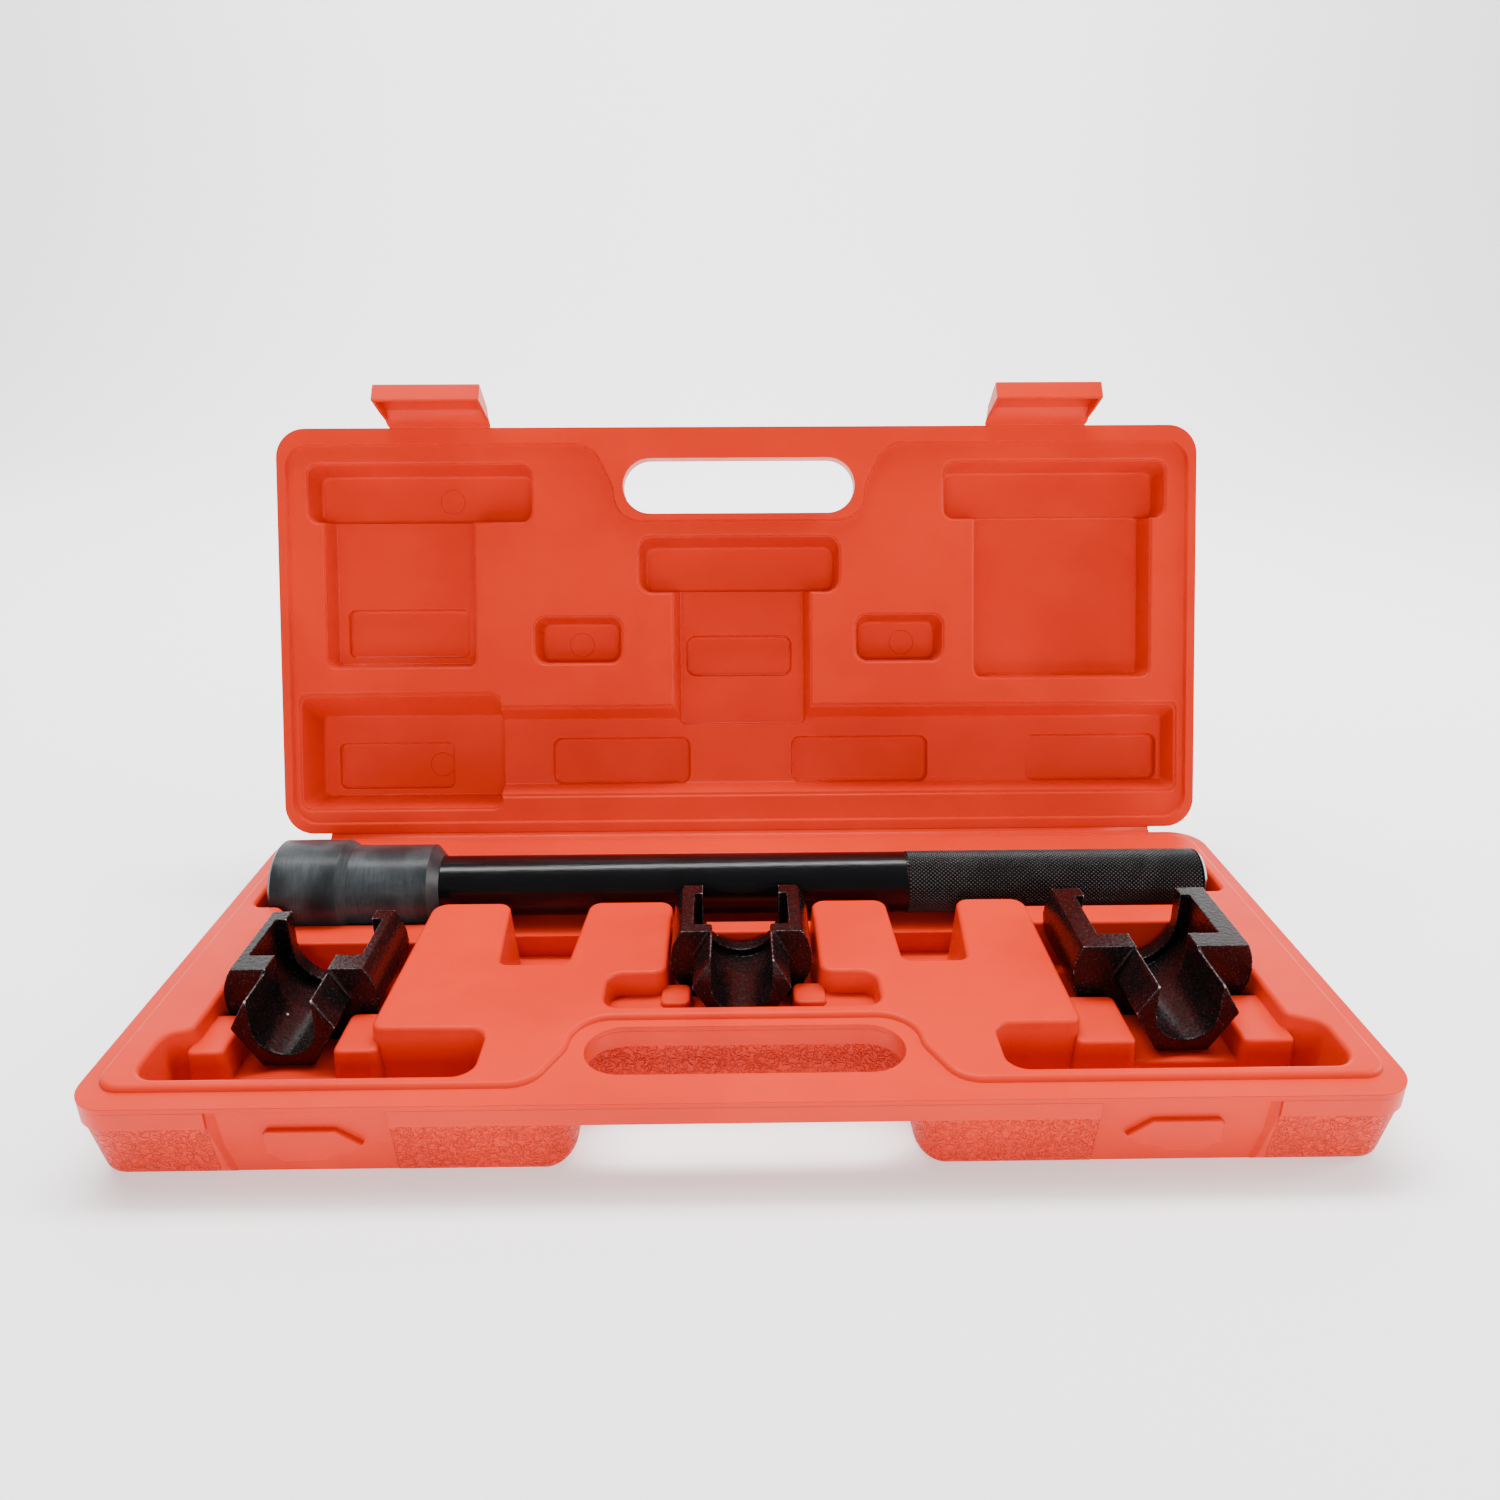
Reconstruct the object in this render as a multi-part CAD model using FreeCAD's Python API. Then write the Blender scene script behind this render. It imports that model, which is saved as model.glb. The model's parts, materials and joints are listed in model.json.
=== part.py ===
"""Inner tie rod tool kit: a double-walled moulded case with a tube wrench and three crowfoot adapters.

Row frame in millimetres: X to the right along the case, Y to the back, Z up. The origin is the centre of the
base's underside. The case is open, with its lid leaning back on the living hinge.

Both case halves are drawn lying open side, or rim, up: x across, y from the rim's near edge, z from the rim
plane, with the walls and pockets below it. The base's near edge is its front; the lid's is its hinge side.
"""
import FreeCAD, Part
import math
import os

V = FreeCAD.Vector

# ---- driving dimensions -------------------------------------------------------------------------
CASE_WIDTH = 480.0
CASE_DEPTH = 211.0
BASE_HEIGHT = 34.0
LID_HEIGHT = 29.0
CORNER_R = 15.0
WALL = 1.8
RIM_SHEET = 2.0            # thickness of the inner skin at the rim
BAND = 9.0                 # plain band below the rim
BAND_STEP = 0.8            # step from the band to the grained wall
WALL_DRAFT = 5.0           # how far the outer wall leans in at its bottom
EDGE_R = 5.0               # rounding of the outer bottom edges
FOOT_END_R = 11.0          # rounding of the underside's ends beside the hand recess
TONGUE = 2.0               # raised field of the base that enters the lid
TONGUE_GAP = 1.2           # gap between that field and the lid's recess
BODY_GAP = 0.3             # air between pieces that move apart

LID_LEAN = 19.2            # degrees past upright when open
HINGE_OFFSET = 1.9         # hinge axis behind the rims' rear edges
CLOSED_GAP = 0.3           # air between the two rim planes when closed

HANDLE_HALF = 60.5         # half length of the hand hole
HANDLE_NEAR = 16.0         # bar's depth
HANDLE_FAR = 44.6
HAND_RECESS_HALF = 61.5
HAND_RECESS_FAR = 45.8
HAND_RECESS_R = 14.0

LATCH_X = 155.0
LATCH_WIDTH = 53.0
LATCH_LENGTH = 28.5
LATCH_SKIN = 1.8
LATCH_OUT = 0.75           # latch hinge in front of the rim edge
LATCH_FLARE = 20.5         # degrees that the latch stands off from its latched pose
RECESS_NEAR_X = 126.0
RECESS_FAR_X = 190.0

TOOL_Y = 163.0             # tube wrench axis, from the base's front edge
TOOL_Z = -2.1              # tube wrench axis, from the rim plane
TOOL_LEFT = -221.8
TOOL_RIGHT = 222.4
HEAD_R = 23.0
HEAD_END = -190.1
COLLAR_START = -186.1
COLLAR_R = 20.2
COLLAR_END = -148.6
NECK_END = -144.1
TUBE_R = 14.6
TUBE_BORE_R = 11.5
PLUG_R = 12.0
PLUG_LENGTH = 28.0
KNURL_START = 78.8
KNURL_R = 14.9
HEX_AF = 35.0              # across flats of every boss
HEX_CLEARANCE = 0.4
HEX_DEPTH = 32.0
GROOVE_X = -209.0           # retaining ring's groove inside the socket
GROOVE_R = 19.6
SQUARE_DRIVE = 12.7
DRIVE_DEPTH = 22.0

SLOT_R = 12.2              # half width of the slot through a boss
BOSS_TRIM = 12.5           # top of a boss above its axis
HIP_SHARE = 0.86           # an adapter's half width where its round side ends, as a share of its widest
HIP_DROP = 15.0            # and how far below the axis that is
SOLE_SHARE = 0.5           # half width of its flat underside, as a share of its widest

# ---- worked out from them -------------------------------------------------------------------------
HINGE_Y = CASE_DEPTH / 2 + HINGE_OFFSET     # the lid's hinge axis in the row frame
HINGE_Z = BASE_HEIGHT + CLOSED_GAP / 2

LEAST_R = 0.6              # smallest corner radius of a drafted outline
SAME = 1e-4                # two heights this close are one height


# ---- outlines and prisms --------------------------------------------------------------------------
def signed_area(points):
    total = 0.0
    for (x0, y0), (x1, y1) in zip(points, points[1:] + points[:1]):
        total += x0 * y1 - x1 * y0
    return total / 2


def offset_outline(points, inset):
    """A counter-clockwise outline with every side moved inwards by inset."""
    moved = []
    count = len(points)
    for i in range(count):
        ax, ay = points[i - 1]
        bx, by = points[i]
        cx, cy = points[(i + 1) % count]
        d0 = math.hypot(bx - ax, by - ay)
        d1 = math.hypot(cx - bx, cy - by)
        u0 = ((bx - ax) / d0, (by - ay) / d0)
        u1 = ((cx - bx) / d1, (cy - by) / d1)
        n0 = (-u0[1], u0[0])
        n1 = (-u1[1], u1[0])
        scale = inset / (1 + n0[0] * n1[0] + n0[1] * n1[1])
        moved.append((bx + (n0[0] + n1[0]) * scale, by + (n0[1] + n1[1]) * scale))
    return moved


def rounded_wire(points, radii, z):
    """A closed wire at height z with each corner of the outline rounded."""
    count = len(points)
    starts = []
    arcs = []
    for i in range(count):
        ax, ay = points[i - 1]
        bx, by = points[i]
        cx, cy = points[(i + 1) % count]
        back = V(ax - bx, ay - by, 0)
        ahead = V(cx - bx, cy - by, 0)
        back.normalize()
        ahead.normalize()
        half = back.getAngle(ahead) / 2
        reach = radii[i] / math.tan(half)
        corner = V(bx, by, z)
        middle_way = back + ahead
        middle_way.normalize()
        centre = corner + middle_way * (radii[i] / math.sin(half))
        start = corner + back * reach
        end = corner + ahead * reach
        middle = centre - middle_way * radii[i]
        starts.append(start)
        arcs.append((start, middle, end))
    edges = []
    for i in range(count):
        start, middle, end = arcs[i]
        edges.append(Part.Arc(start, middle, end).toShape())
        edges.append(Part.makeLine(end, starts[(i + 1) % count]))
    return Part.Wire(edges)


def corner_signs(points):
    """+1 at a corner that sticks out, -1 at one that points inwards."""
    signs = []
    count = len(points)
    for i in range(count):
        ax, ay = points[i - 1]
        bx, by = points[i]
        cx, cy = points[(i + 1) % count]
        turn = (bx - ax) * (cy - by) - (by - ay) * (cx - bx)
        signs.append(1 if turn > 0 else -1)
    return signs


def drafted(points, radius, z_top, z_low, inset_top, inset_low):
    """A prism between two heights whose outline shrinks by the insets, with rounded upright corners."""
    if signed_area(points) < 0:
        points = points[::-1]
    signs = corner_signs(points)
    radii = radius if isinstance(radius, list) else [radius] * len(points)
    wires = []
    for z, inset in ((z_top, inset_top), (z_low, inset_low)):
        sized = [max(r - s * inset, LEAST_R) for r, s in zip(radii, signs)]
        wires.append(rounded_wire(offset_outline(points, inset), sized, z))
    return Part.makeLoft(wires, True, True)


def rectangle(x0, x1, y0, y1):
    return [(x0, y0), (x1, y0), (x1, y1), (x0, y1)]


def block(x0, x1, y0, y1, z0, z1):
    return Part.makeBox(x1 - x0, y1 - y0, z1 - z0, V(x0, y0, z0))


def edges_at(shape, z, inside=None):
    """Edges that lie wholly at height z, and wholly in the box (x0, x1, y0, y1) if one is given."""
    found = []
    for edge in shape.Edges:
        box = edge.BoundBox
        if abs(box.ZMin - z) > SAME or abs(box.ZMax - z) > SAME:
            continue
        if inside is not None:
            x0, x1, y0, y1 = inside
            if box.XMin < x0 or box.XMax > x1 or box.YMin < y0 or box.YMax > y1:
                continue
        found.append(edge)
    return found


def round_edges(shape, edges, radius):
    return shape.makeFillet(radius, edges)


def fillet_by_edge(shape, radii):
    """Round edges that each have a radius of their own at either end: (edge number, first, last)."""
    document = FreeCAD.newDocument("rounding")
    base = document.addObject("Part::Feature", "base")
    base.Shape = shape
    fillet = document.addObject("Part::Fillet", "fillet")
    fillet.Base = base
    fillet.Edges = radii
    document.recompute()
    rounded = fillet.Shape.copy()
    FreeCAD.closeDocument(document.Name)
    return rounded


def pocket(points, radius, z_top, z_floor, inset, floor_r):
    """The space of a pocket: a drafted prism with a rounded floor edge."""
    space = drafted(points, radius, z_top, z_floor, 0.0, inset)
    return round_edges(space, edges_at(space, z_floor), floor_r)


def raised(points, radius, z_top, z_low, spread, top_r):
    """A raised step in a pocket: it widens downwards and its top edge is rounded."""
    solid = drafted(points, radius, z_top, z_low, 0.0, -spread)
    return round_edges(solid, edges_at(solid, z_top), top_r)


def stadium(x_half, y0, y1, z0, z1):
    r = (y1 - y0) / 2
    points = rectangle(-x_half, x_half, y0, y1)
    return drafted(points, r - 0.01, z1, z0, 0.0, 0.0)


# ---- the case's outer skins -----------------------------------------------------------------------
CASE_OUTLINE = rectangle(-CASE_WIDTH / 2, CASE_WIDTH / 2, 0.0, CASE_DEPTH)


def hand_recess(grow, z_top, z_low):
    """The space under the handle bar, grown by a wall thickness for the cavity behind it."""
    half = HAND_RECESS_HALF + grow
    far = HAND_RECESS_FAR + grow
    r = HAND_RECESS_R + grow
    return drafted(rectangle(-half, half, -40.0, far), [0.7, 0.7, r, r], z_top, z_low, 0.0, 0.0)


def rounded_underside(body, grow, height):
    """Round a half's underside: FOOT_END_R round the hand recess, in plan too, and EDGE_R elsewhere."""
    half = HAND_RECESS_HALF + grow
    edge_r = EDGE_R - grow
    end_r = FOOT_END_R - grow
    upright = []
    for edge in body.Edges:
        box = edge.BoundBox
        if box.ZLength > height / 2 and abs(abs(box.Center.x) - half) < 1 and box.YMax < end_r:
            upright.append(edge)
    body = round_edges(body, upright, end_r)
    radii = []
    for number, edge in enumerate(body.Edges, 1):
        box = edge.BoundBox
        if abs(box.ZMin + height) > SAME or abs(box.ZMax + height) > SAME:
            continue
        from_middle = abs(box.Center.x)
        if from_middle <= half + 1e-3 and box.YMax < HAND_RECESS_FAR + grow + 1:
            radii.append((number, end_r, end_r))
        elif from_middle < half + end_r and box.YMax < 2 * EDGE_R + end_r:
            starts_in_front = edge.valueAt(edge.FirstParameter).y < box.Center.y
            radii.append((number, edge_r, end_r) if starts_in_front else (number, end_r, edge_r))
        else:
            radii.append((number, edge_r, edge_r))
    return fillet_by_edge(body, radii)


def skin_body(grow, z_top, height):
    """The outside of a case half (grow 0) or its cavity (grow WALL), which stops short of the handle bar."""
    band = drafted(CASE_OUTLINE, CORNER_R, z_top, -BAND, grow, grow)
    lower = drafted(CASE_OUTLINE, CORNER_R, -BAND, -height, BAND_STEP + grow, WALL_DRAFT + grow)
    recess = hand_recess(grow, z_top + 1, -height - 1)
    lower = rounded_underside(lower.cut(recess), grow, height)
    if grow > 0:
        band = band.cut(recess)
    return band.fuse(lower)


def latch_recess(side, grow, height):
    """The space in the front wall that a latch folds into: plain above, sloping back below."""
    x0 = RECESS_NEAR_X - grow
    x1 = RECESS_FAR_X + grow
    kink = -19.0
    top = -RIM_SHEET
    deep_top = 3.6 + grow
    deep_low = 7.4 + grow
    profile = [(-30.0, top), (deep_top, top), (deep_top + 0.8, kink), (deep_low, -height - 3), (-30.0, -height - 3)]
    face = Part.Face(Part.makePolygon([V(x0, y, z) for y, z in profile + profile[:1]]))
    space = face.extrude(V(x1 - x0, 0, 0))
    slope = 6.0
    wedge = Part.Face(Part.makePolygon([V(x1 - slope, deep_low + 1, 5), V(x1 + 1, deep_low + 1, 5),
                                        V(x1 + 1, -0.2, 5), V(x1 - slope, deep_low + 1, 5)]))
    space = space.cut(wedge.extrude(V(0, 0, -height - 20)))
    if side < 0:
        space = space.mirror(V(0, 0, 0), V(1, 0, 0))
    return space


def catch_bump(side):
    """The bump that a latch's lip hooks under: straight outside end, pointed inside end."""
    outline = [(137.0, -18.5), (146.0, -12.0), (170.5, -12.0), (172.0, -13.5), (172.0, -21.5), (168.5, -22.8),
               (166.5, -25.2), (151.0, -25.2), (148.0, -23.0), (142.0, -22.2)]
    wire = Part.makePolygon([V(x, 2.0, z) for x, z in outline + outline[:1]])
    bump = Part.Face(wire).extrude(V(0, 5.5, 0))
    front = [e for e in bump.Edges if e.BoundBox.YMax < 2.001]
    bump = bump.makeFillet(0.7, front)
    if side < 0:
        bump = bump.mirror(V(0, 0, 0), V(1, 0, 0))
    return bump


def case_skin(height, with_catches):
    """One outer skin, lying rim up with its handle at y = 0."""
    outer = skin_body(0.0, -RIM_SHEET, height)
    cavity = skin_body(WALL, -RIM_SHEET, height - WALL)
    if with_catches:
        for side in (-1, 1):
            outer = outer.cut(latch_recess(side, 0.0, height))
            cavity = cavity.cut(latch_recess(side, WALL, height))
    skin = outer.cut(cavity)
    if with_catches:
        for side in (-1, 1):
            skin = skin.fuse(catch_bump(side))
    hole = stadium(HANDLE_HALF, HANDLE_NEAR, HANDLE_FAR, -height, 1.0)
    return skin.cut(hole).removeSplitter()


# ---- the base's inner skin ------------------------------------------------------------------------
TRAY_FLOOR = -28.0
TRAY_EDGE_R = 2.0          # rounding where the openings meet the raised field
CHANNEL_FAR = 187.0
FIN_END = 139.0
TRAY_OPENING = [
    (-227.0, 137.8), (-212.0, 137.8), (-212.0, 43.5), (-222.0, 41.0), (-222.0, 14.5), (-99.0, 14.5),
    (-99.0, 42.5), (-144.5, 43.0), (-143.0, FIN_END), (-107.6, FIN_END), (-103.4, 87.3), (-74.4, 87.3),
    (-70.6, FIN_END), (-32.5, FIN_END), (-32.5, 79.5), (-56.5, 79.5), (-56.5, 55.5), (55.0, 55.5),
    (55.0, 79.5), (32.0, 79.5), (32.0, FIN_END), (66.0, FIN_END), (67.5, 87.5), (95.0, 87.5),
    (99.5, FIN_END), (130.8, FIN_END), (130.8, 42.5), (96.0, 42.5), (96.0, 15.0), (224.0, 15.0),
    (224.0, 40.0), (211.5, 46.0), (211.5, 144.5), (228.0, 144.5), (228.0, CHANNEL_FAR), (-227.0, CHANNEL_FAR)]
TRAY_RADII = [4.0, 5.0, 5.0, 5.0, 9.0, 8.0,
              7.0, 5.0, 7.0, 6.0, 4.5, 4.5,
              6.0, 6.0, 6.0, 7.0, 7.0, 7.0,
              7.0, 6.0, 6.0, 6.0, 4.5, 4.5,
              6.0, 7.0, 5.0, 7.0, 8.0, 9.0,
              5.0, 5.0, 5.0, 4.0, 6.0, 6.0]
TONGUE_OUTLINE = [(-234.5, 9.0), (-77.0, 9.0), (-66.5, 31.0), (-66.0, 49.0), (66.0, 49.0), (66.5, 31.0),
                  (77.0, 9.0), (234.5, 9.0), (234.5, 205.0), (-234.5, 205.0)]
TONGUE_RADII = [11.0, 14.0, 12.0, 15.0, 15.0, 12.0, 14.0, 11.0, 11.0, 11.0]

# name, centre x, boss front, plate front, plate back, lip front, rear, top z, axis z, half widths, openings
CROWFEET = {
    "crowfoot_medium": dict(x=-179.0, boss=45.7, plate=66.0, back=76.5, lip=105.0, rear=112.0, top=14.0, axis=0.2,
                            half_top=26.5, half_max=31.0, pocket=22.8, throat=18.2, bottom=27.2),
    "crowfoot_small": dict(x=-1.0, boss=64.5, plate=87.5, back=93.5, lip=120.0, rear=127.0, top=16.5, axis=4.2,
                           half_top=25.3, half_max=30.0, pocket=20.5, throat=17.0, bottom=26.0),
    "crowfoot_large": dict(x=172.5, boss=44.8, plate=72.5, back=82.5, lip=114.5, rear=121.0, top=16.5, axis=3.2,
                           half_top=34.0, half_max=37.0, pocket=25.4, throat=21.5, bottom=28.5),
}


def pocket_steps(foot, half_slot, pad_near, pad_z, ridge_near, ridge_z, narrow):
    """Raised steps under one crowfoot: two pads beside its boss, a slot floor, a seat and a rear ridge."""
    x0, x1 = narrow
    x = foot["x"]
    seat_near = foot["plate"] - 3.0
    seat_z = foot["axis"] - foot["bottom"] - BODY_GAP
    slot_z = foot["axis"] - HEX_AF / 2 - 1.0
    low = TRAY_FLOOR - 3.0
    reach = 6.0
    lap = 2.0
    steps = [raised(rectangle(x0 - lap, x - half_slot, pad_near, seat_near), 3.0, pad_z, low, 2.0, 1.5),
             raised(rectangle(x + half_slot, x1 + lap, pad_near, seat_near), 3.0, pad_z, low, 2.0, 1.5),
             raised(rectangle(x - half_slot - 2, x + half_slot + 2, pad_near + 1, seat_near + 2), 3.0,
                    slot_z, low, 1.0, 1.5),
             raised(rectangle(x0 - reach, x1 + reach, ridge_near, FIN_END + 2.5), 3.0, ridge_z, low, 1.5, 1.5)]
    if seat_z > TRAY_FLOOR:
        steps.append(block(x0 - reach, x1 + reach, seat_near, ridge_near + 1, low, seat_z))
    return steps


def tray_steps():
    """Everything that rises above the tray's lowest floor."""
    low = TRAY_FLOOR - 3.0
    tube_floor = TOOL_Z - KNURL_R - BODY_GAP
    head_floor = TOOL_Z - HEAD_R - BODY_GAP
    steps = []
    steps += pocket_steps(CROWFEET["crowfoot_medium"], 20.8, 38.0, -5.0, 125.0, -10.4, (-212.0, -143.5))
    steps += pocket_steps(CROWFEET["crowfoot_small"], 21.5, 70.0, -7.0, 131.5, -10.4, (-32.5, 32.0))
    steps += pocket_steps(CROWFEET["crowfoot_large"], 20.8, 38.5, -5.0, 125.5, -3.5, (130.8, 211.5))
    steps.append(block(-235.0, -143.0, FIN_END + 1.5, CHANNEL_FAR + 5, low, head_floor))
    steps.append(block(-143.0, 236.0, FIN_END + 1.5, CHANNEL_FAR + 5, low, tube_floor))
    boss_floor = CROWFEET["crowfoot_small"]["axis"] - HEX_AF / 2 - 1.0
    steps.append(block(-24.5, 22.5, 50.0, 73.5, low, boss_floor))
    for x0, x1 in ((-62.0, -24.5), (22.5, 62.0)):
        steps.append(block(x0, x1, 50.0, 86.0, low, -9.0))
    return steps


def hollow_under(step):
    """The space under a raised step, one wall thickness inside it."""
    box = step.BoundBox
    if box.ZMax - WALL < TRAY_FLOOR + 1:
        return None
    return block(box.XMin + 2 * WALL, box.XMax - 2 * WALL, box.YMin + 2 * WALL, box.YMax - 2 * WALL,
                 TRAY_FLOOR - 6.0, box.ZMax - WALL)


def base_tray():
    """The base's inner skin: rim, raised field, and one connected opening with stepped floors."""
    above = 4.0
    inset = 2.2
    sheet = drafted(CASE_OUTLINE, CORNER_R, 0.0, -RIM_SHEET, 0.0, 0.0)
    tongue = drafted(TONGUE_OUTLINE, TONGUE_RADII, TONGUE, -1.0, 0.6, 0.0)
    under = drafted(TONGUE_OUTLINE, TONGUE_RADII, TONGUE - RIM_SHEET, -RIM_SHEET - 1, WALL + 0.4, WALL + 0.4)
    space = pocket(TRAY_OPENING, TRAY_RADII, TONGUE, TRAY_FLOOR, inset, 2.0)
    opening = drafted(TRAY_OPENING, TRAY_RADII, TONGUE + above, TONGUE, 0.0, 0.0)
    walls = drafted(TRAY_OPENING, TRAY_RADII, TONGUE - 0.5, TRAY_FLOOR - WALL, -WALL, inset - WALL)
    steps = tray_steps()
    space = space.cut(Part.makeCompound(steps))
    tray = sheet.fuse(tongue).cut(under).fuse(walls)
    tray = tray.cut(space).cut(opening)
    for step in steps:
        hollow = hollow_under(step)
        if hollow is not None:
            tray = tray.cut(hollow)
    tray = tray.removeSplitter()
    tray = round_edges(tray, edges_at(tray, TONGUE, (-232, 232, 12, 200)), TRAY_EDGE_R)
    tray = tray.cut(stadium(HANDLE_HALF, HANDLE_NEAR, HANDLE_FAR, -4.0, TONGUE + above))
    return tray


# ---- the lid's inner skin -------------------------------------------------------------------------
FIELD_DEPTH = TONGUE + 0.4
# opening (x0, x1, y0, y1), floor depth, insets of the floor's four sides, corner radius; y from the hinge side
LID_POCKETS = {
    "medium_wide": ((-225.6, -108.1, 162.6, 193.4), 18.0, (3.0, 2.5, 2.0, 4.0), 6.0),
    "medium_narrow": ((-217.4, -138.6, 87.0, 169.0), 15.6, (2.8, 2.5, 2.0, 2.0), 5.0),
    "medium_pad": ((-211.4, -143.6, 90.9, 120.6), 19.5, (2.2, 2.2, 2.0, 2.5), 5.0),
    "left_square": ((-108.8, -61.8, 88.3, 113.6), 16.5, (3.4, 3.4, 2.2, 3.4), 6.5),
    "small_wide": ((-53.3, 53.0, 125.2, 155.1), 19.0, (3.0, 3.0, 2.2, 4.0), 7.0),
    "small_narrow": ((-35.5, 37.5, 55.0, 131.0), 17.4, (3.4, 3.4, 1.0, 1.0), 4.0),
    "small_pad": ((-31.0, 29.8, 79.9, 106.0), 21.5, (2.4, 2.4, 2.2, 2.8), 6.5),
    "right_square": ((60.5, 107.6, 88.5, 113.9), 16.5, (3.4, 3.4, 2.2, 3.4), 6.5),
    "large_wide": ((107.1, 225.0, 163.0, 193.7), 17.4, (2.5, 3.0, 2.0, 4.0), 6.0),
    "large_narrow": ((123.4, 217.3, 79.5, 168.0), 17.4, (2.5, 2.8, 2.0, 2.0), 5.0),
    "head": ((-232.3, -126.5, 11.9, 73.7), 22.2, (6.0, 1.2, 6.5, 12.0), 5.0),
    "head_pad": ((-219.5, -154.3, 20.5, 49.0), 25.2, (1.2, 2.2, 1.6, 2.4), 5.0),
    "tube": ((-130.0, 231.6, 18.5, 66.3), 14.2, (1.0, 4.5, 6.0, 7.0), 4.0),
    "tube_pad_1": ((-103.0, -25.4, 22.5, 51.0), 18.6, (2.4, 2.4, 2.0, 2.6), 6.0),
    "tube_pad_2": ((25.2, 102.8, 22.5, 51.0), 18.6, (2.4, 2.4, 2.0, 2.6), 6.0),
    "tube_pad_3": ((152.0, 227.0, 22.5, 51.0), 18.6, (2.4, 2.4, 2.0, 2.6), 6.0),
}


def sloped_pocket(box, depth, insets, radius, grow, z_top):
    """A rectangular pocket whose four walls lean in by their own amounts, grown by a wall thickness."""
    x0, x1, y0, y1 = box
    left, right, near, far = insets
    share = (depth + z_top) / depth
    floor = rectangle(x0 + left - grow, x1 - right + grow, y0 + near - grow, y1 - far + grow)
    top = rectangle(x0 - grow - left * (share - 1), x1 + grow + right * (share - 1),
                    y0 - grow - near * (share - 1), y1 + grow + far * (share - 1))
    wires = [rounded_wire(top, [radius + grow] * 4, z_top),
             rounded_wire(floor, [max(radius - 1.5, 2.0) + grow] * 4, -depth - grow)]
    space = Part.makeLoft(wires, True, True)
    return round_edges(space, edges_at(space, -depth - grow), 1.6 + grow)


def pocket_mouth(box, radius):
    """The rounded lip of a lid pocket at the level of the sunk field, cut as a stack of widening rings."""
    x0, x1, y0, y1 = box
    wires = []
    for drop, spread in ((1.1, -0.05), (0.5, 0.15), (0.15, 0.5), (0.0, 0.95), (-0.5, 0.95)):
        ring = rectangle(x0 - spread, x1 + spread, y0 - spread, y1 + spread)
        wires.append(rounded_wire(ring, [radius + spread] * 4, -FIELD_DEPTH - drop))
    return Part.makeLoft(wires, True, True)


def swap_sides(outline):
    return [(x, CASE_DEPTH - y) for x, y in outline]


FIELD_OUTLINE = swap_sides(TONGUE_OUTLINE)[::-1]
FIELD_RADII = TONGUE_RADII[::-1]


def lid_plate():
    """The sheet that carries the lid's sunk field, before the field is sunk into it."""
    spread = TONGUE_GAP + WALL
    return drafted(FIELD_OUTLINE, FIELD_RADII, -RIM_SHEET + 0.5, -FIELD_DEPTH - RIM_SHEET, -spread, -spread + 0.8)


def lid_tray():
    """The lid's inner skin, lying rim up with its hinge side at y = 0."""
    sheet = drafted(CASE_OUTLINE, CORNER_R, 0.0, -RIM_SHEET, 0.0, 0.0)
    sunk = drafted(FIELD_OUTLINE, FIELD_RADII, 0.2, -FIELD_DEPTH, -TONGUE_GAP, -TONGUE_GAP + 0.8)
    tray = sheet.fuse(lid_plate()).cut(sunk)
    spaces = []
    walls = []
    for box, depth, insets, radius in LID_POCKETS.values():
        spaces.append(sloped_pocket(box, depth, insets, radius, 0.0, -FIELD_DEPTH + 0.5))
        spaces.append(pocket_mouth(box, radius))
        walls.append(sloped_pocket(box, depth, insets, radius, WALL, -FIELD_DEPTH - 0.5))
    tray = tray.multiFuse(walls)
    tray = tray.cut(spaces[0].multiFuse(spaces[1:]))
    tray = tray.removeSplitter()
    hole = turn_round(stadium(HANDLE_HALF, HANDLE_NEAR, HANDLE_FAR, -8.0, 4.0))
    return tray.cut(hole)


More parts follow.
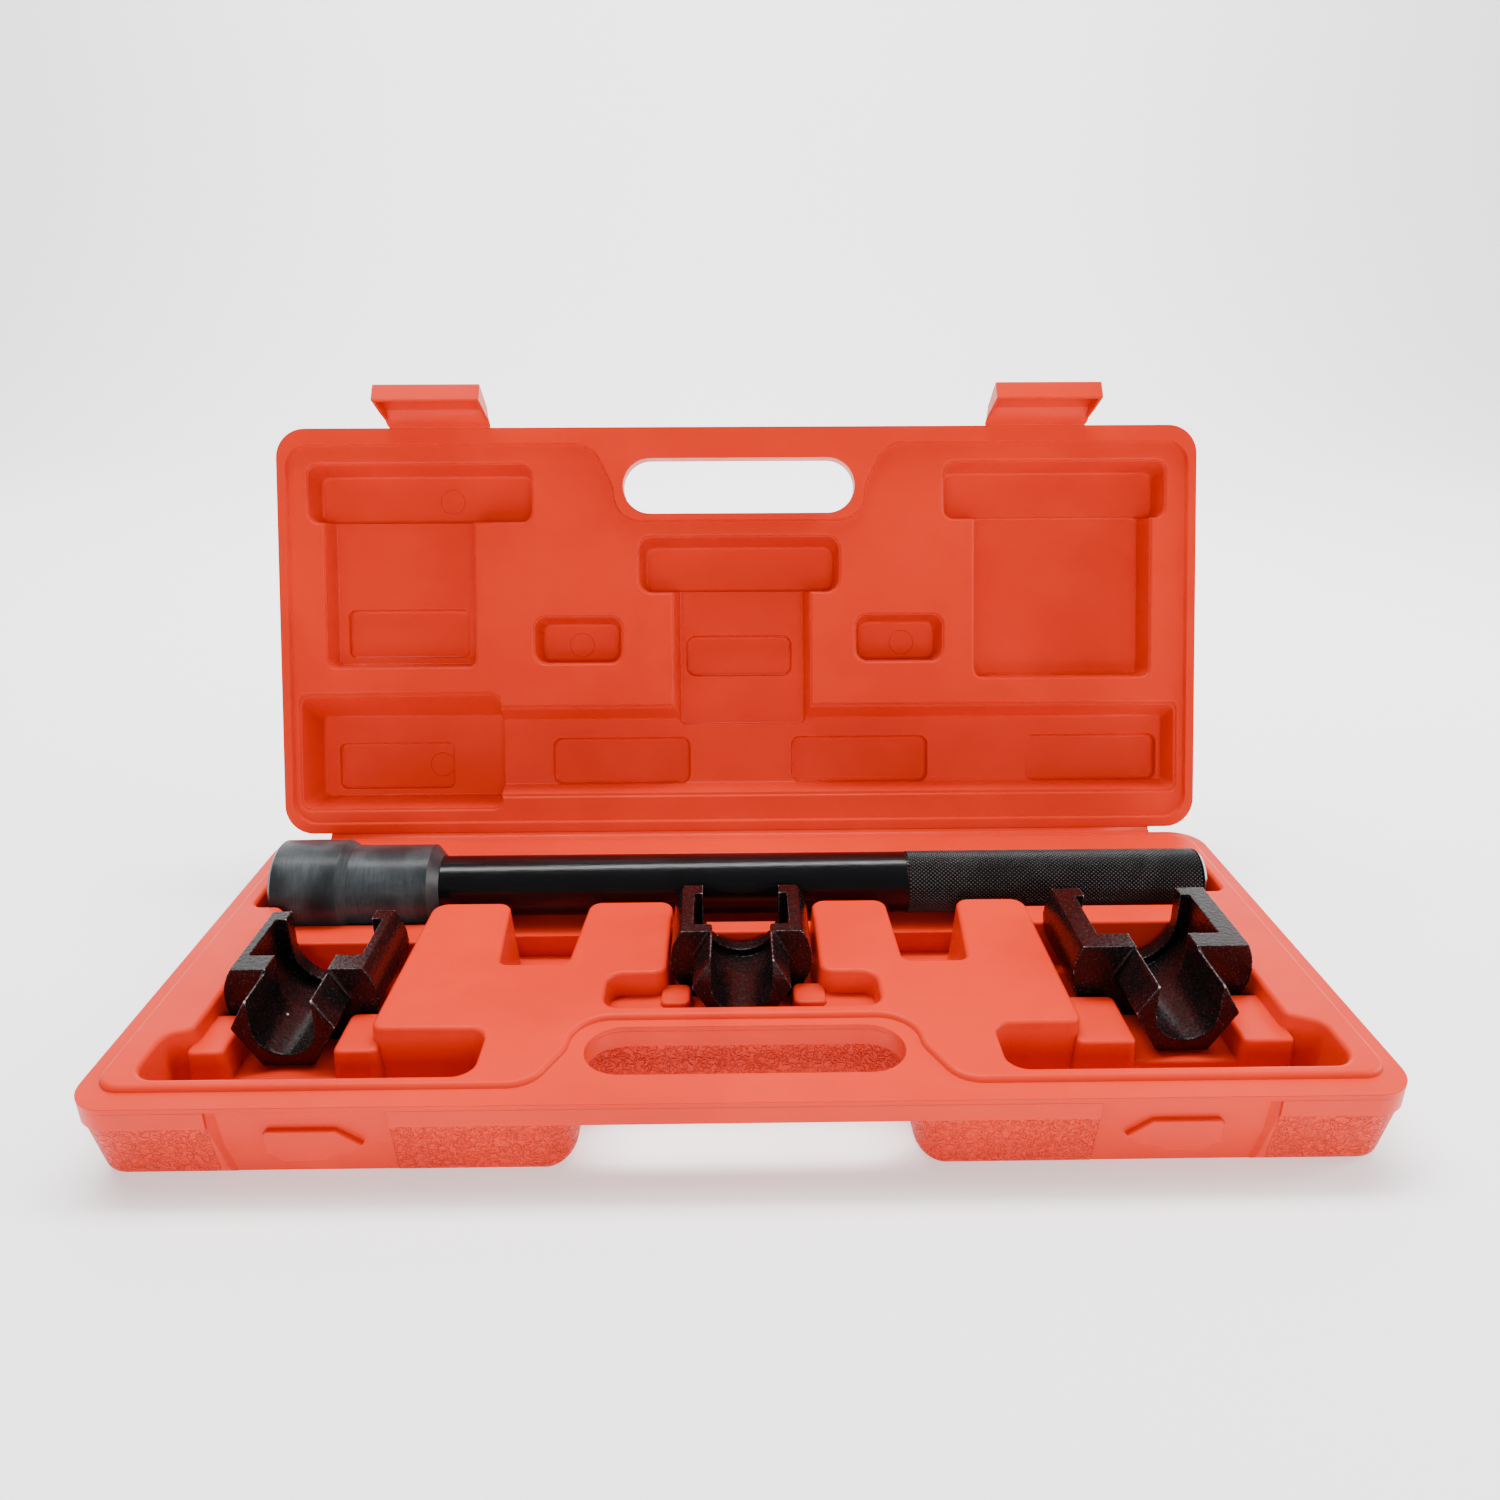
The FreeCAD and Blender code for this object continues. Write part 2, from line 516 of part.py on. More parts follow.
# ---- latches and hinge ----------------------------------------------------------------------------
def latch(side):
    """A latch in the lid's frame, pointing away from the lid as when latched; y is measured from its hinge."""
    end = LATCH_LENGTH
    x0 = side * LATCH_X - LATCH_WIDTH / 2
    web = 0.45
    plate = Part.Wire([
        Part.makeLine(V(x0, web, 0), V(x0, web, 1.5)),
        Part.Arc(V(x0, web, 1.5), V(x0, 1.7, 5.6), V(x0, 4.6, 9.5)).toShape(),
        Part.makeLine(V(x0, 4.6, 9.5), V(x0, 5.6, end)),
        Part.makeLine(V(x0, 5.6, end), V(x0, -4.2, end)),
        Part.makeLine(V(x0, -4.2, end), V(x0, -4.2, end - 1.4)),
        Part.makeLine(V(x0, -4.2, end - 1.4), V(x0, -3.0, end - 2.4)),
        Part.makeLine(V(x0, -3.0, end - 2.4), V(x0, 3.75, end - 2.4)),
        Part.makeLine(V(x0, 3.75, end - 2.4), V(x0, 2.9, 10.2)),
        Part.Arc(V(x0, 2.9, 10.2), V(x0, 0.3, 6.2), V(x0, -web, 1.5)).toShape(),
        Part.makeLine(V(x0, -web, 1.5), V(x0, -web, 0)),
        Part.makeLine(V(x0, -web, 0), V(x0, web, 0))])
    body = Part.Face(plate).extrude(V(LATCH_WIDTH, 0, 0))
    cheek = Part.Wire([
        Part.Arc(V(x0, 0.2, 4.2), V(x0, 2.2, 6.9), V(x0, 4.5, 9.6)).toShape(),
        Part.makeLine(V(x0, 4.5, 9.6), V(x0, 5.4, end - 0.2)),
        Part.makeLine(V(x0, 5.4, end - 0.2), V(x0, -3.9, end - 0.2)),
        Part.Arc(V(x0, -3.9, end - 0.2), V(x0, -1.9, 14.0), V(x0, 0.2, 4.2)).toShape()])
    for x in (0.0, LATCH_WIDTH - 1.6):
        wall = Part.Face(cheek).extrude(V(1.6, 0, 0))
        wall.translate(V(x, 0, 0))
        body = body.fuse(wall)
    body = body.removeSplitter()
    upper = [e for e in body.Edges if e.BoundBox.ZMin > end - 0.01 and e.BoundBox.YMin > 5.5]
    body = body.makeFillet(1.2, upper)
    body.rotate(V(0, 0, 0), V(1, 0, 0), -LATCH_FLARE)
    body.translate(V(0, CASE_DEPTH + LATCH_OUT, 0))
    return body


def hinge_web():
    """The thin living hinge, in the row frame, bent as it is when the lid is open."""
    half = 216.0
    clear = 0.02               # air between the web and each half's edge
    lean = math.radians(LID_LEAN)

    def lid_edge(depth):
        along = HINGE_OFFSET - clear
        inward = depth + CLOSED_GAP / 2
        return V(-half, HINGE_Y + along * math.sin(lean) + inward * math.cos(lean),
                 HINGE_Z + along * math.cos(lean) - inward * math.sin(lean))

    def base_edge(depth):
        return V(-half, CASE_DEPTH / 2 + clear, BASE_HEIGHT - depth)

    inner = [base_edge(0.1), V(-half, HINGE_Y - 0.05, HINGE_Z + 0.25), lid_edge(0.1)]
    outer = [lid_edge(0.9), V(-half, HINGE_Y + 0.65, HINGE_Z - 0.4), base_edge(0.9)]
    wire = Part.Wire([Part.Arc(*inner).toShape(), Part.makeLine(inner[-1], outer[0]),
                      Part.Arc(*outer).toShape(), Part.makeLine(outer[-1], inner[0])])
    return Part.Face(wire).extrude(V(2 * half, 0, 0))


# ---- tube wrench ----------------------------------------------------------------------------------
def turned(profile):
    """A solid of revolution about the tool's axis from (x, radius) points, in the base's frame."""
    wire = Part.makePolygon([V(x, TOOL_Y, TOOL_Z + r) for x, r in profile + profile[:1]])
    return Part.Face(wire).revolve(V(0, TOOL_Y, TOOL_Z), V(1, 0, 0), 360)


def tool_bar(x0, x1, radius):
    return Part.makeCylinder(radius, x1 - x0, V(x0, TOOL_Y, TOOL_Z), V(1, 0, 0))


def hexagon(centre_y, across, x0, x1):
    """A hexagonal bar along x with flats above and below."""
    r = across / math.sqrt(3)
    points = []
    for k in range(7):
        angle = math.radians(60 * k)
        points.append(V(x0, centre_y + r * math.cos(angle), TOOL_Z + r * math.sin(angle)))
    return Part.Face(Part.makePolygon(points)).extrude(V(x1 - x0, 0, 0))


def socket_head():
    left = TOOL_LEFT
    outer = turned([(left, 0), (left, HEAD_R - 1.6), (left + 1.6, HEAD_R), (HEAD_END, HEAD_R),
                    (COLLAR_START, COLLAR_R), (COLLAR_END, COLLAR_R), (NECK_END, TUBE_R + 0.5), (NECK_END, 0)])
    socket = hexagon(TOOL_Y, HEX_AF + HEX_CLEARANCE, left - 1, left + HEX_DEPTH)
    mouth = turned([(left - 1, 0), (left - 1, 21.4), (left + 1.6, 19.0), (left + 1.6, 0)])
    groove = tool_bar(GROOVE_X - 1.1, GROOVE_X + 1.1, GROOVE_R)
    seat = tool_bar(left + HEX_DEPTH + 2.0, NECK_END + 1, TUBE_R)
    through = tool_bar(left + HEX_DEPTH - 1, left + HEX_DEPTH + 3, TUBE_BORE_R)
    return outer.cut(socket).cut(mouth).cut(groove).cut(seat).cut(through)


def wrench_tube():
    start = TOOL_LEFT + HEX_DEPTH + 2.0
    end = TOOL_RIGHT
    return turned([(start, TUBE_BORE_R), (start, TUBE_R), (KNURL_START, TUBE_R), (KNURL_START + 0.4, KNURL_R),
                   (end - 1.6, KNURL_R), (end, KNURL_R - 1.6), (end, PLUG_R), (end - PLUG_LENGTH, PLUG_R),
                   (end - PLUG_LENGTH, TUBE_BORE_R)])


def drive_plug():
    plug = tool_bar(TOOL_RIGHT - PLUG_LENGTH, TOOL_RIGHT - 0.6, PLUG_R - 0.01)
    half = (SQUARE_DRIVE + 0.15) / 2
    hole = block(TOOL_RIGHT - DRIVE_DEPTH, TOOL_RIGHT + 1, TOOL_Y - half, TOOL_Y + half, TOOL_Z - half, TOOL_Z + half)
    detent = Part.makeCylinder(2.4, 9.5, V(TOOL_RIGHT - 9, TOOL_Y, TOOL_Z), V(0, 0, 1))
    return plug.cut(hole).cut(detent)


def retaining_ring():
    """A split ring of round wire in the socket's groove; its gap lets it spring."""
    turn = 330
    return Part.makeTorus(18.2, 0.8, V(GROOVE_X, TOOL_Y, TOOL_Z), V(1, 0, 0), 0, 360, turn)


# ---- crowfoot adapters ----------------------------------------------------------------------------
def upright_slot(x, half, round_z, y0, y1, z_top):
    """A slot open at the top with a half-round bottom, running along y."""
    trough = Part.makeCylinder(half, y1 - y0, V(x, y0, round_z), V(0, 1, 0))
    return trough.fuse(block(x - half, x + half, y0, y1, round_z, z_top))


def crowfoot(foot):
    """One adapter in the base's frame: a barrel-sided jaw block with a slotted half-hex boss in front."""
    x = foot["x"]
    za = foot["axis"]
    zt = foot["top"]
    zb = za - foot["bottom"]
    half_top = foot["half_top"]
    half_max = foot["half_max"]
    y0 = foot["plate"]
    hip = half_max * HIP_SHARE
    sole = half_max * SOLE_SHARE
    z_hip = za - HIP_DROP
    outline = Part.Wire([
        Part.Arc(V(x + half_top, y0, zt), V(x + half_max, y0, za), V(x + hip, y0, z_hip)).toShape(),
        Part.makeLine(V(x + hip, y0, z_hip), V(x + sole, y0, zb)),
        Part.makeLine(V(x + sole, y0, zb), V(x - sole, y0, zb)),
        Part.makeLine(V(x - sole, y0, zb), V(x - hip, y0, z_hip)),
        Part.Arc(V(x - hip, y0, z_hip), V(x - half_max, y0, za), V(x - half_top, y0, zt)).toShape(),
        Part.makeLine(V(x - half_top, y0, zt), V(x + half_top, y0, zt))])
    jaws = Part.Face(outline).extrude(V(0, foot["rear"] - y0, 0))
    r = HEX_AF / math.sqrt(3)
    corners = []
    for k in range(7):
        angle = math.radians(60 * k)
        corners.append(V(x + r * math.cos(angle), foot["boss"], za + r * math.sin(angle)))
    boss = Part.Face(Part.makePolygon(corners)).extrude(V(0, y0 - foot["boss"] + 1, 0))
    boss = boss.cut(block(x - r, x + r, foot["boss"] - 1, y0 + 2, za + BOSS_TRIM, za + r))
    cavity = upright_slot(x, foot["pocket"], za, foot["back"], foot["lip"], zt + 1)
    solid = jaws.fuse(boss)
    solid = solid.cut(upright_slot(x, SLOT_R, za, foot["boss"] - 1, foot["back"] + 1, zt + 1))
    solid = solid.cut(cavity)
    solid = solid.cut(upright_slot(x, foot["throat"], za, foot["lip"] - 1, foot["rear"] + 1, zt + 1))
    return solid.removeSplitter()


# ---- placing the halves ------------------------------------------------------------------------------
def place_base(shape):
    placed = shape.copy()
    placed.translate(V(0, -CASE_DEPTH / 2, BASE_HEIGHT))
    return placed


def place_lid(shape):
    """From the lid's own frame, hinge side near, to the open pose."""
    placed = shape.copy()
    placed.translate(V(0, HINGE_OFFSET, -CLOSED_GAP / 2))
    placed.rotate(V(0, 0, 0), V(1, 0, 0), 90 - LID_LEAN)
    placed.translate(V(0, HINGE_Y, HINGE_Z))
    return placed


def turn_round(shape):
    """Swap a half's near and far sides, so that its handle is at the far side."""
    turned = shape.copy()
    turned.rotate(V(0, CASE_DEPTH / 2, 0), V(0, 0, 1), 180)
    return turned


def save(name, shape):
    shape.exportStep(os.path.join("parts", name + ".step"))
    print(name, len(shape.Solids), shape.isValid(), round(shape.Volume))


os.makedirs("parts", exist_ok=True)
save("case_base_shell", place_base(case_skin(BASE_HEIGHT, True)))
save("case_base_tray", place_base(base_tray()))
save("case_lid_shell", place_lid(turn_round(case_skin(LID_HEIGHT, False)).cut(lid_plate())))
save("case_lid_tray", place_lid(lid_tray()))
save("hinge_web", hinge_web())
save("latch_left", place_lid(latch(-1)))
save("latch_right", place_lid(latch(1)))
save("wrench_tube", place_base(wrench_tube()))
save("socket_head", place_base(socket_head()))
save("drive_plug", place_base(drive_plug()))
save("retaining_ring", place_base(retaining_ring()))
for name, foot in CROWFEET.items():
    save(name, place_base(crowfoot(foot)))
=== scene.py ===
import json
import math

import bmesh
import bpy
from mathutils import Matrix, Vector


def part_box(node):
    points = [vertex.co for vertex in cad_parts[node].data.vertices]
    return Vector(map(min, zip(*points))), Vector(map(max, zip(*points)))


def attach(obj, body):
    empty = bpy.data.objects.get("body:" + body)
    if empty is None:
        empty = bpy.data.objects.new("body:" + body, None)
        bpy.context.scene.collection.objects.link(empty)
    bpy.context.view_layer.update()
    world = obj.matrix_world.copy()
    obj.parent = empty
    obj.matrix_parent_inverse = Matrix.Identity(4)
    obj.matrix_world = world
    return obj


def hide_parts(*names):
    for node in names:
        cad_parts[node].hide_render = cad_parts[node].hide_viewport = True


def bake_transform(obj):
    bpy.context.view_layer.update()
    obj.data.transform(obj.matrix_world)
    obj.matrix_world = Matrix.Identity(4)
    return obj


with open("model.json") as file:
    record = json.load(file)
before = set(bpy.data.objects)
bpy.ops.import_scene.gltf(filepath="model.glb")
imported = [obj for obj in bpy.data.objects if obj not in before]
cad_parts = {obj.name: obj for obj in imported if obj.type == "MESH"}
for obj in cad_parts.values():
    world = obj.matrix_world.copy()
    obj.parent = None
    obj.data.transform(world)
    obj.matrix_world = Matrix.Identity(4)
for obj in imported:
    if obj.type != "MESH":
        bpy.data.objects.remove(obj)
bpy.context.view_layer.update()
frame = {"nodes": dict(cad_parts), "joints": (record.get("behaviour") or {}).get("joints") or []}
nodes = frame["nodes"]
joints = {joint["name"]: joint for joint in frame["joints"]}

MM = 0.001
LEAN = math.radians(19.2)
HINGE = Vector(joints["lid_hinge"]["pos_m"])
LID_UP = Vector((0.0, math.sin(LEAN), math.cos(LEAN)))        # from the hinge along the open lid
LID_IN = Vector((0.0, math.cos(LEAN), -math.sin(LEAN)))       # into the lid, away from its rim
RIM_Z = 34.0 * MM
CASE_HALF_DEPTH = 105.5 * MM
GAP = 0.15 * MM
TUBE_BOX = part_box("wrench_tube")
TOOL_Y = (TUBE_BOX[0][1] + TUBE_BOX[1][1]) / 2
TOOL_Z = (TUBE_BOX[0][2] + TUBE_BOX[1][2]) / 2
GRIP_START = 79.2 * MM
GRIP_END = 220.4 * MM
KNURL_CORE = 14.35 * MM
KNURL_CREST = 14.98 * MM
KNURL_PITCH = 2.1 * MM
KNURLS_AROUND = 50
KNURL_FLAT = 0.3              # how much of a knurl's width its flat crest takes
TUBE_R = 14.6 * MM
BORE_R = 11.5 * MM
PLUG_SEAT_R = 12.0 * MM
PLUG_SEAT_DEPTH = 28.0 * MM
GRIP_END_R = 14.9 * MM
END_CHAMFER = 1.6 * MM
BRIGHT_RIM = (220.9 * MM, 221.4 * MM)     # where the machined end begins, along x
BAND_EDGE = (9.2 * MM, 9.6 * MM)          # where the plain band ends, below the rim
RECESS_NEAR = (125.7 * MM, 126.0 * MM)    # the latch recess, from its end nearest the middle
RECESS_FAR = (190.0 * MM, 190.3 * MM)
RECESS_BACK = (12.0 * MM, 12.2 * MM)
FILM_COLUMNS = 13
HINGE_REACH = 216.0 * MM
HINGE_FILM = 0.8 * MM
LATCH_REACH = 26.0 * MM
LATCH_FILM = 0.6 * MM
MARK_R = 6.4                  # of a mould mark, in mm
MARK_LINE = 0.16 * MM


def lid_point(x, along, depth):
    """A point in the open lid, in mm: along from the hinge axis, depth behind its rim plane."""
    place = HINGE + LID_UP * (along * MM) + LID_IN * (depth * MM + GAP)
    return Vector((x * MM, place.y, place.z))


# ---- node helpers ---------------------------------------------------------------------------------
class Graph:
    """A short way to build a node material."""

    def __init__(self, name):
        self.material = bpy.data.materials.new(name)
        self.material.use_nodes = True
        self.tree = self.material.node_tree
        self.shader = self.tree.nodes["Principled BSDF"]
        self.coord = self.tree.nodes.new("ShaderNodeTexCoord").outputs["Object"]

    def put(self, socket, value):
        if isinstance(value, bpy.types.NodeSocket):
            self.tree.links.new(value, socket)
        else:
            socket.default_value = value

    def math(self, operation, a, b=0.0):
        node = self.tree.nodes.new("ShaderNodeMath")
        node.operation = operation
        self.put(node.inputs[0], a)
        self.put(node.inputs[1], b)
        return node.outputs[0]

    def along(self, direction, offset=0.0):
        """Distance of the shaded point along a direction, in metres."""
        node = self.tree.nodes.new("ShaderNodeVectorMath")
        node.operation = "DOT_PRODUCT"
        self.put(node.inputs[0], self.coord)
        node.inputs[1].default_value = direction
        return self.math("SUBTRACT", node.outputs["Value"], offset)

    def stretch(self, scale):
        node = self.tree.nodes.new("ShaderNodeMapping")
        self.put(node.inputs["Vector"], self.coord)
        node.inputs["Scale"].default_value = scale
        return node.outputs["Vector"]

    def noise(self, scale, detail=3.0, rough=0.5, distortion=0.0, vector=None):
        node = self.tree.nodes.new("ShaderNodeTexNoise")
        self.put(node.inputs["Vector"], self.coord if vector is None else vector)
        node.inputs["Scale"].default_value = scale
        node.inputs["Detail"].default_value = detail
        node.inputs["Roughness"].default_value = rough
        node.inputs["Distortion"].default_value = distortion
        return node.outputs["Fac"]

    def ramp(self, value, low, high, out_low=0.0, out_high=1.0):
        node = self.tree.nodes.new("ShaderNodeMapRange")
        node.interpolation_type = "SMOOTHSTEP"
        self.put(node.inputs["Value"], value)
        node.inputs["From Min"].default_value = low
        node.inputs["From Max"].default_value = high
        node.inputs["To Min"].default_value = out_low
        node.inputs["To Max"].default_value = out_high
        return node.outputs["Result"]

    def mix(self, factor, a, b):
        node = self.tree.nodes.new("ShaderNodeMix")
        node.data_type = "RGBA"
        self.put(node.inputs["Factor"], factor)
        self.put(node.inputs[6], a)
        self.put(node.inputs[7], b)
        return node.outputs[2]

    def bump(self, height, distance, strength=1.0, normal=None):
        node = self.tree.nodes.new("ShaderNodeBump")
        node.inputs["Strength"].default_value = strength
        node.inputs["Distance"].default_value = distance
        self.put(node.inputs["Height"], height)
        if normal is not None:
            self.put(node.inputs["Normal"], normal)
        return node.outputs["Normal"]

    def soft_edges(self, radius):
        node = self.tree.nodes.new("ShaderNodeBevel")
        node.samples = 4
        node.inputs["Radius"].default_value = radius
        return node.outputs["Normal"]


# ---- case plastic ---------------------------------------------------------------------------------
def leather(graph):
    """Worm-like ridges of a leather grain, 0 to 1."""
    base = graph.noise(430.0, 1.0, 0.4, 0.9)
    ridge = graph.math("ABSOLUTE", graph.math("SUBTRACT", base, 0.5))
    worms = graph.ramp(ridge, 0.0, 0.13, 0.0, 1.0)
    fine = graph.noise(1100.0, 2.0, 0.5, 0.6)
    return graph.math("ADD", worms, graph.math("MULTIPLY", fine, 0.15))


def case_plastic(name, grain_mask=None):
    """Satin red-orange polyethylene, grained where the mask is 1."""
    graph = Graph(name)
    shader = graph.shader
    cloud = graph.noise(16.0, 4.0, 0.55, 0.4)
    colour = graph.mix(graph.ramp(cloud, 0.3, 0.7), (0.58, 0.017, 0.003, 1), (0.64, 0.022, 0.004, 1))
    speck = graph.ramp(graph.noise(1400.0, 2.0, 0.6), 0.68, 0.8)
    colour = graph.mix(graph.math("MULTIPLY", speck, 0.12), colour, (0.40, 0.008, 0.002, 1))
    graph.put(shader.inputs["Base Color"], colour)
    rough = graph.ramp(graph.noise(60.0, 4.0, 0.6), 0.3, 0.7, 0.34, 0.43)
    flow = graph.noise(9.0, 3.0, 0.5, 0.8, graph.stretch((0.25, 1.0, 1.0)))
    mould = graph.math("ADD", flow, graph.math("MULTIPLY", graph.noise(1800.0, 2.0), 0.02))
    normal = graph.bump(mould, 0.0006, 0.35, graph.soft_edges(0.0005))
    if grain_mask is not None:
        mask = grain_mask(graph)
        grain = graph.math("MULTIPLY", leather(graph), mask)
        normal = graph.bump(grain, 0.00055, 1.0, normal)
        rough = graph.math("ADD", rough, graph.math("MULTIPLY", mask, 0.07))
    graph.put(shader.inputs["Roughness"], rough)
    graph.put(shader.inputs["Normal"], normal)
    shader.inputs["Subsurface Weight"].default_value = 0.12
    shader.inputs["Subsurface Radius"].default_value = (1.0, 0.25, 0.08)
    shader.inputs["Subsurface Scale"].default_value = 0.002
    shader.inputs["Specular IOR Level"].default_value = 0.18
    return graph.material


def base_grain(graph):
    """Grain below the plain band, but not in the two latch recesses."""
    x = graph.math("ABSOLUTE", graph.along((1, 0, 0)))
    y = graph.along((0, 1, 0), -CASE_HALF_DEPTH)
    z = graph.along((0, 0, 1))
    below = graph.ramp(z, RIM_Z - BAND_EDGE[1], RIM_Z - BAND_EDGE[0], 1.0, 0.0)
    inside = graph.ramp(x, *RECESS_NEAR, 1.0, 0.0)
    outside = graph.ramp(x, *RECESS_FAR)
    behind = graph.ramp(y, *RECESS_BACK)
    open_wall = graph.math("MAXIMUM", graph.math("MAXIMUM", inside, outside), behind)
    return graph.math("MULTIPLY", below, open_wall)


def lid_grain(graph):
    """Grain behind the lid's plain band."""
    return graph.ramp(graph.along(tuple(LID_IN), HINGE.dot(LID_IN) + GAP), *BAND_EDGE)


# ---- metals ---------------------------------------------------------------------------------------
def sharp_edge_mask(graph, low, high):
    """1 on the sharpest outer edges and high spots of a finely meshed piece, and 0 on its flats."""
    sharp = graph.tree.nodes.new("ShaderNodeNewGeometry").outputs["Pointiness"]
    return graph.ramp(sharp, low, high)


def black_steel(name, streaks, band_streaks, dark, light, rough, knurled=False):
    """Black-oxide steel with turning marks, a bright machined end, and painted shade in the knurl grooves
    if knurled.
    """
    graph = Graph(name)
    shader = graph.shader
    blotch = graph.noise(35.0, 5.0, 0.6, 0.8)
    turned = graph.noise(110.0, 4.0, 0.6, 0.0, graph.stretch(streaks))
    bands = graph.noise(40.0, 2.0, 0.5, 0.0, graph.stretch(band_streaks))
    shade = graph.math("MULTIPLY", graph.ramp(blotch, 0.3, 0.7, 0.4, 1.0),
                       graph.ramp(turned, 0.3, 0.7, 0.5, 1.0))
    shade = graph.math("MULTIPLY", shade, graph.ramp(bands, 0.35, 0.6, 0.35, 1.2))
    colour = graph.mix(shade, dark, light)
    along = graph.along((1, 0, 0))
    if knurled:
        y = graph.along((0, 1, 0), TOOL_Y)
        z = graph.along((0, 0, 1), TOOL_Z)
        squares = graph.math("ADD", graph.math("MULTIPLY", y, y), graph.math("MULTIPLY", z, z))
        height = graph.ramp(graph.math("SQRT", squares), KNURL_CORE + 0.12 * MM, KNURL_CREST - 0.05 * MM)
        plain = graph.ramp(along, GRIP_START, GRIP_START + 0.2 * MM, 1.0, 0.0)
        height = graph.math("MAXIMUM", height, plain)
        crest = graph.mix(graph.ramp(blotch, 0.35, 0.65), (0.030, 0.030, 0.031, 1),
                          (0.055, 0.054, 0.054, 1))
        on_grip = graph.ramp(along, GRIP_START, GRIP_START + 0.1 * MM)
        colour = graph.mix(on_grip, colour, crest)
        # painted shade: the knurl grooves darken to near black with their depth
        colour = graph.mix(height, (0.001, 0.001, 0.001, 1), colour)
    rim = graph.ramp(along, *BRIGHT_RIM)
    colour = graph.mix(graph.math("MULTIPLY", rim, 0.9), colour, (0.30, 0.36, 0.40, 1))
    graph.put(shader.inputs["Base Color"], colour)
    graph.put(shader.inputs["Metallic"], rim)
    graph.put(shader.inputs["Roughness"], graph.ramp(turned, 0.3, 0.75, rough[0], rough[1]))
    normal = graph.bump(turned, 0.00006, 0.5, graph.soft_edges(0.0003))
    graph.put(shader.inputs["Normal"], normal)
    shader.inputs["Specular IOR Level"].default_value = 0.32
    return graph.material


def cast_black(name):
    """Rough black-coated casting with maroon patches painted in as the red case's reflection, painted
    glints on its skin, and pale edges that are partly rubbed wear and partly painted highlight.
    """
    graph = Graph(name)
    shader = graph.shader
    blotch = graph.noise(90.0, 5.0, 0.62, 0.6)
    # painted reflection: the maroon patches stand in for the red case reflected in the black skin
    colour = graph.mix(graph.ramp(blotch, 0.42, 0.68), (0.003, 0.0026, 0.0026, 1),
                       (0.010, 0.0024, 0.0028, 1))
    # painted highlight: pale specks scattered over the skin stand in for glints
    painted_glint = graph.ramp(graph.noise(1100.0, 3.0, 0.7), 0.60, 0.72)
    colour = graph.mix(graph.math("MULTIPLY", painted_glint, 0.30), colour, (0.16, 0.14, 0.14, 1))
    patch = graph.ramp(graph.noise(260.0, 5.0, 0.7), 0.38, 0.54)
    # pale edges: partly rubbed wear and partly a painted highlight along the sharp edges
    wear_and_edge_highlight = graph.math("MULTIPLY", sharp_edge_mask(graph, 0.54, 0.60), patch)
    colour = graph.mix(wear_and_edge_highlight, colour, (0.50, 0.49, 0.49, 1))
    graph.put(shader.inputs["Base Color"], colour)
    pits = graph.noise(620.0, 4.0, 0.65, 0.3)
    graph.put(shader.inputs["Roughness"], graph.ramp(pits, 0.3, 0.7, 0.16, 0.30))
    graph.put(shader.inputs["Normal"], graph.bump(pits, 0.00022, 0.7))
    shader.inputs["Specular IOR Level"].default_value = 0.30
    return graph.material


def bright_wire(name):
    """Drawn spring steel, left bright."""
    graph = Graph(name)
    shader = graph.shader
    drawn = graph.noise(420.0, 3.0, 0.6, 0.0)
    graph.put(shader.inputs["Base Color"], graph.mix(drawn, (0.42, 0.42, 0.43, 1), (0.60, 0.60, 0.61, 1)))
    shader.inputs["Metallic"].default_value = 1.0
    graph.put(shader.inputs["Roughness"], graph.ramp(drawn, 0.3, 0.7, 0.22, 0.36))
    return graph.material


# ---- mesh helpers ---------------------------------------------------------------------------------
def mesh_object(name, vertices, faces, material):
    """A smooth-shaded object in the scene, from its points and faces."""
    data = bpy.data.meshes.new(name)
    data.from_pydata([tuple(v) for v in vertices], [], faces)
    data.update()
    obj = bpy.data.objects.new(name, data)
    bpy.context.scene.collection.objects.link(obj)
    data.materials.append(material)
    for polygon in data.polygons:
        polygon.use_smooth = True
    return obj


def bake_modifiers(obj):
    """Replaces an object's mesh by the mesh that its modifiers make."""
    graph = bpy.context.evaluated_depsgraph_get()
    done = bpy.data.meshes.new_from_object(obj.evaluated_get(graph))
    obj.modifiers.clear()
    obj.data = done
    return obj


def softened_copy(node, name, voxel, passes, material, rough=0.0, rough_size=1.0):
    """A finely meshed copy of a CAD node with its edges worn round and, if asked, a rough cast skin."""
    obj = bpy.data.objects.new(name, nodes[node].data.copy())
    bpy.context.scene.collection.objects.link(obj)
    remesh = obj.modifiers.new("remesh", "REMESH")
    remesh.mode = "VOXEL"
    remesh.voxel_size = voxel
    smooth = obj.modifiers.new("smooth", "SMOOTH")
    smooth.factor = 0.5
    smooth.iterations = passes
    if rough > 0:
        cloud = bpy.data.textures.new(name + "_cast", "CLOUDS")
        cloud.noise_scale = rough_size
        cloud.noise_depth = 3
        displace = obj.modifiers.new("cast", "DISPLACE")
        displace.texture = cloud
        displace.texture_coords = "LOCAL"
        displace.strength = rough
        displace.mid_level = 0.62
    bake_modifiers(obj)
    obj.data.materials.clear()
    obj.data.materials.append(material)
    for polygon in obj.data.polygons:
        polygon.use_smooth = True
    return obj


